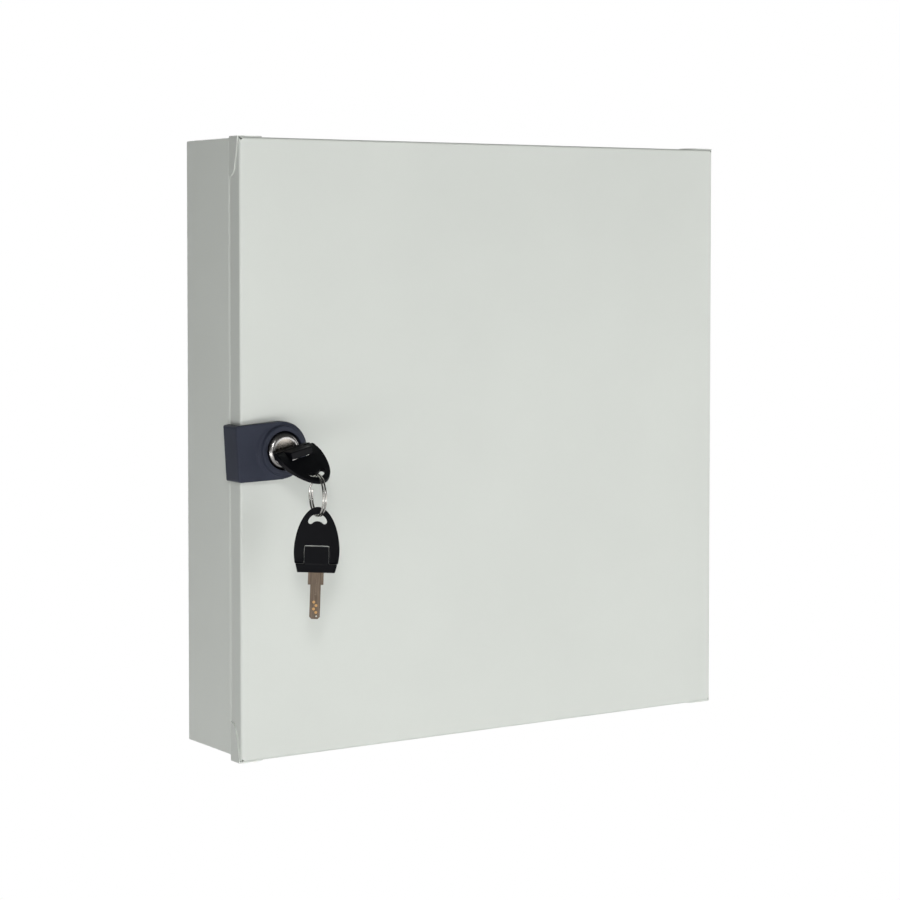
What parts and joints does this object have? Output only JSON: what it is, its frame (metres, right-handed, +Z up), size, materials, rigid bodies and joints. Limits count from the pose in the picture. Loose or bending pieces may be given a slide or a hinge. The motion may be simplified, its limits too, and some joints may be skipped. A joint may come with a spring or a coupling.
{
  "type": "padlock storage cabinet",
  "caption": "Wall cabinet for padlocks: folded steel case with hook rails, tray door on a rod hinge, cam lock in a wrap-round housing, folding keys on a split ring.",
  "frame": {"origin": "middle of the rectangle of four wall holes, on the outside of the case's back", "axes": "+X to the viewer's right, towards the hinge; +Y into the wall; +Z up"},
  "size_m": [0.3749, 0.132, 0.3816],
  "materials": {
    "door_sheet": "light grey fine-texture powder coat",
    "case_sheet": "light grey fine-texture powder coat",
    "zinc": "bright zinc plate",
    "rubber": "soft black rubber",
    "housing": "dark blue-grey moulded plastic",
    "chrome": "bright nickel chrome",
    "plug": "nickel plated brass",
    "key_metal": "nickel silver",
    "key_plastic": "black moulded plastic",
    "ring": "nickel plated spring steel"
  },
  "bodies": {
    "case": {"case": "case_sheet", "front_frame": "case_sheet", "hinge_case_leaf": "case_sheet", "hinge_pin": "zinc", "hook_rail_top": "zinc", "hook_rail_middle": "zinc", "hook_rail_bottom": "zinc", "rail_standoffs": "zinc", "rail_screws": "zinc", "door_bumpers": "rubber"},
    "door": {"door": "door_sheet", "hinge_door_leaf": "door_sheet", "lock_housing": "housing", "lock_cylinder": "chrome", "lock_nut": "zinc"},
    "plug": {"lock_plug": "plug", "lock_cam": "zinc", "cam_washer": "zinc", "cam_screw": "zinc"},
    "key": {"key_blade": "key_metal", "key_base": "key_plastic", "key_pivot_pin": "zinc"},
    "bow": {"key_bow": "key_plastic"},
    "ring": {"key_ring": "ring"},
    "spare_bow": {"spare_key_bow": "key_plastic"},
    "spare_key": {"spare_key_blade": "key_metal", "spare_key_base": "key_plastic", "spare_key_pivot_pin": "zinc"}
  },
  "joints": [
    {"name": "door_swing", "type": "hinge", "parent": "case", "child": "door", "pos_m": [0.184, -0.0556, 0], "axis": [0, 0, 1], "range_deg": [0, 175]},
    {"name": "lock_turn", "type": "hinge", "parent": "door", "child": "plug", "pos_m": [-0.159, -0.0812, 0], "axis": [0, -1, 0], "range_deg": [0, 90]},
    {"name": "key_draw", "type": "slide", "parent": "plug", "child": "key", "axis": [0, -1, 0], "range_m": [0, 0.03]},
    {"name": "bow_fold", "type": "hinge", "parent": "key", "child": "bow", "pos_m": [-0.159, -0.0933, 0], "axis": [0.9703, 0, 0.2419], "range_deg": [-31.5, 20]},
    {"name": "ring_turn", "type": "hinge", "parent": "bow", "child": "ring", "pos_m": [-0.15881, -0.11925, -0.02396], "axis": [0.9823, -0.1874, 0], "range_deg": [-60, 25]},
    {"name": "spare_swing", "type": "hinge", "parent": "ring", "child": "spare_bow", "pos_m": [-0.15881, -0.11925, -0.03616], "axis": [0.1874, 0.9823, 0], "range_deg": [-20, 20]},
    {"name": "spare_fold", "type": "hinge", "parent": "spare_bow", "child": "spare_key", "pos_m": [-0.1596, -0.1188, -0.0623], "axis": [0.8655, -0.4997, -0.0349], "range_deg": [-90, 90]}
  ]
}
